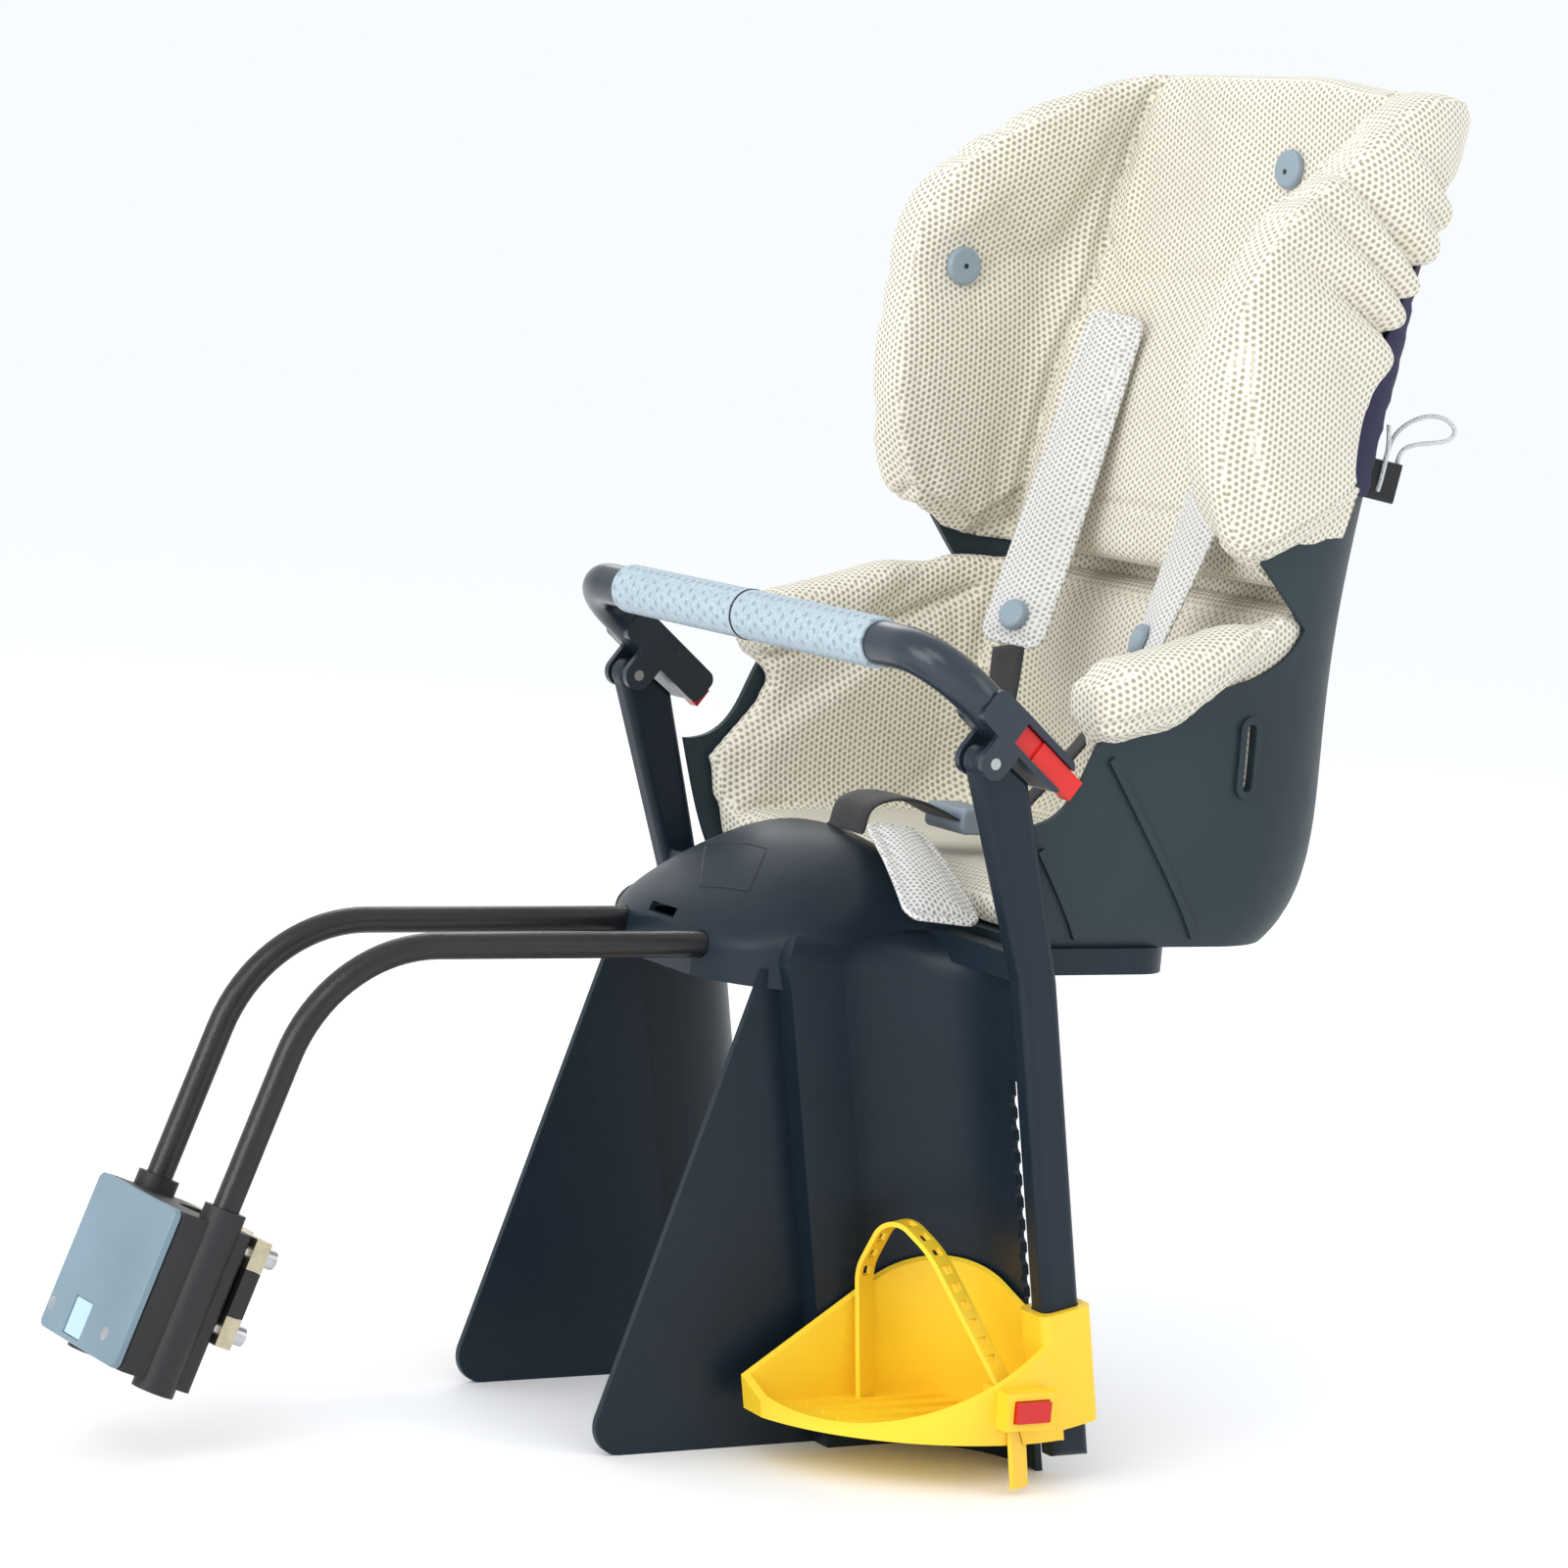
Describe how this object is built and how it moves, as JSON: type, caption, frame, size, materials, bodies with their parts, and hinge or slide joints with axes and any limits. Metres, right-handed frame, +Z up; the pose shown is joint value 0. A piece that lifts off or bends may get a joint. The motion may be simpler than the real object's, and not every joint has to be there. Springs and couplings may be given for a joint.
{
  "type": "child bike seat",
  "caption": "Rear child bike seat with padded bucket shell, leg guards, sliding footrests, swinging bumper bar and a carrier rod held in a seat tube clamp block.",
  "frame": {"origin": "on the seat tube's axis, at the middle of the clamp block", "axes": "+X forward along the bicycle, +Y to its left, +Z up; the seat tube leans back by 20 degrees"},
  "size_m": [0.7393, 0.413, 0.7422],
  "materials": {
    "mount_plastic": "black glass-filled nylon",
    "cover_plastic": "blue-grey moulded plastic",
    "button_plastic": "pale blue moulded plastic",
    "zinc": "yellow zinc plated steel",
    "screw_steel": "zinc plated steel",
    "rod_paint": "black powder coat",
    "shell_plastic": "dark slate grey polypropylene",
    "guard_plastic": "dark slate grey moulded plastic",
    "bumper_plastic": "black moulded plastic",
    "foam": "light grey-blue closed-cell foam",
    "tongue_red": "red moulded plastic",
    "footrest_yellow": "yellow moulded plastic",
    "strap_rubber": "yellow moulded rubber",
    "mesh_fabric": "cream spacer mesh over foam",
    "strap_fabric": "grey-white fine mesh",
    "elastic_navy": "navy elastic band",
    "webbing": "black woven webbing",
    "buckle_grey": "light grey-blue moulded plastic",
    "snap_grey": "light grey-blue plastic snap",
    "lock_black": "black moulded plastic",
    "cord_grey": "light grey elastic cord"
  },
  "bodies": {
    "mount": {"mount_block": "mount_plastic", "mount_cover": "cover_plastic", "cover_screws": "screw_steel", "clamp_saddles": "zinc", "clamp_jaw": "mount_plastic", "clamp_bolts": "screw_steel"},
    "release_button": {"release_button": "button_plastic"},
    "carrier": {"carrier_bar": "rod_paint", "rod_clamp": "mount_plastic", "seat_bolts": "screw_steel", "leg_guard_frame": "guard_plastic", "seat_shell": "shell_plastic", "back_cushion": "mesh_fabric", "elastic_hem": "elastic_navy", "seat_cushion": "mesh_fabric", "shoulder_pad_left": "strap_fabric", "shoulder_pad_right": "strap_fabric", "strap_snaps": "snap_grey", "shoulder_webbing_left": "webbing", "shoulder_webbing_right": "webbing", "crotch_webbing": "webbing", "crotch_pad": "strap_fabric", "buckle_body": "buckle_grey", "buckle_tongue": "buckle_grey", "cushion_button_wing": "snap_grey", "cushion_button_back": "snap_grey", "cord_lock": "lock_black", "drawcord_loop": "cord_grey"},
    "bumper": {"bumper_tube": "rod_paint", "bumper_foam_left": "foam", "bumper_foam_right": "foam", "bumper_arm_left": "bumper_plastic", "bumper_arm_right": "bumper_plastic", "bumper_pins": "screw_steel"},
    "latch_left": {"latch_tongue_left": "tongue_red"},
    "latch_right": {"latch_tongue_right": "tongue_red"},
    "foot_left": {"footrest_left": "footrest_yellow", "foot_strap_left": "strap_rubber"},
    "foot_right": {"footrest_right": "footrest_yellow", "foot_strap_right": "strap_rubber"},
    "clip_left": {"strap_clip_left": "tongue_red"},
    "clip_right": {"strap_clip_right": "tongue_red"}
  },
  "joints": [
    {"name": "button_press", "type": "slide", "parent": "mount", "child": "release_button", "axis": [-0.9397, 0, -0.342], "range_m": [0, 0.003], "stiffness_N_per_m": 400, "springref_m": -0.001},
    {"name": "seat_slide", "type": "slide", "parent": "mount", "child": "carrier", "axis": [-0.342, 0, 0.9397], "range_m": [0, 0.08]},
    {"name": "bumper_swing", "type": "hinge", "parent": "carrier", "child": "bumper", "pos_m": [-0.338, 0, 0.303], "axis": [0, 1, 0], "range_deg": [0, 80]},
    {"name": "latch_left_press", "type": "slide", "parent": "bumper", "child": "latch_left", "axis": [0, -1, 0], "range_m": [0, 0.0015], "stiffness_N_per_m": 400, "springref_m": -0.001},
    {"name": "latch_right_press", "type": "slide", "parent": "bumper", "child": "latch_right", "axis": [0, 1, 0], "range_m": [0, 0.0015], "stiffness_N_per_m": 400, "springref_m": -0.001},
    {"name": "foot_left_slide", "type": "slide", "parent": "carrier", "child": "foot_left", "axis": [0.1908, 0, 0.9816], "range_m": [0, 0.08]},
    {"name": "foot_right_slide", "type": "slide", "parent": "carrier", "child": "foot_right", "axis": [0.1908, 0, 0.9816], "range_m": [0, 0.08]},
    {"name": "clip_left_press", "type": "slide", "parent": "foot_left", "child": "clip_left", "axis": [0, -1, 0], "range_m": [0, 0.0015], "stiffness_N_per_m": 400, "springref_m": -0.001},
    {"name": "clip_right_press", "type": "slide", "parent": "foot_right", "child": "clip_right", "axis": [0, 1, 0], "range_m": [0, 0.0015], "stiffness_N_per_m": 400, "springref_m": -0.001}
  ]
}
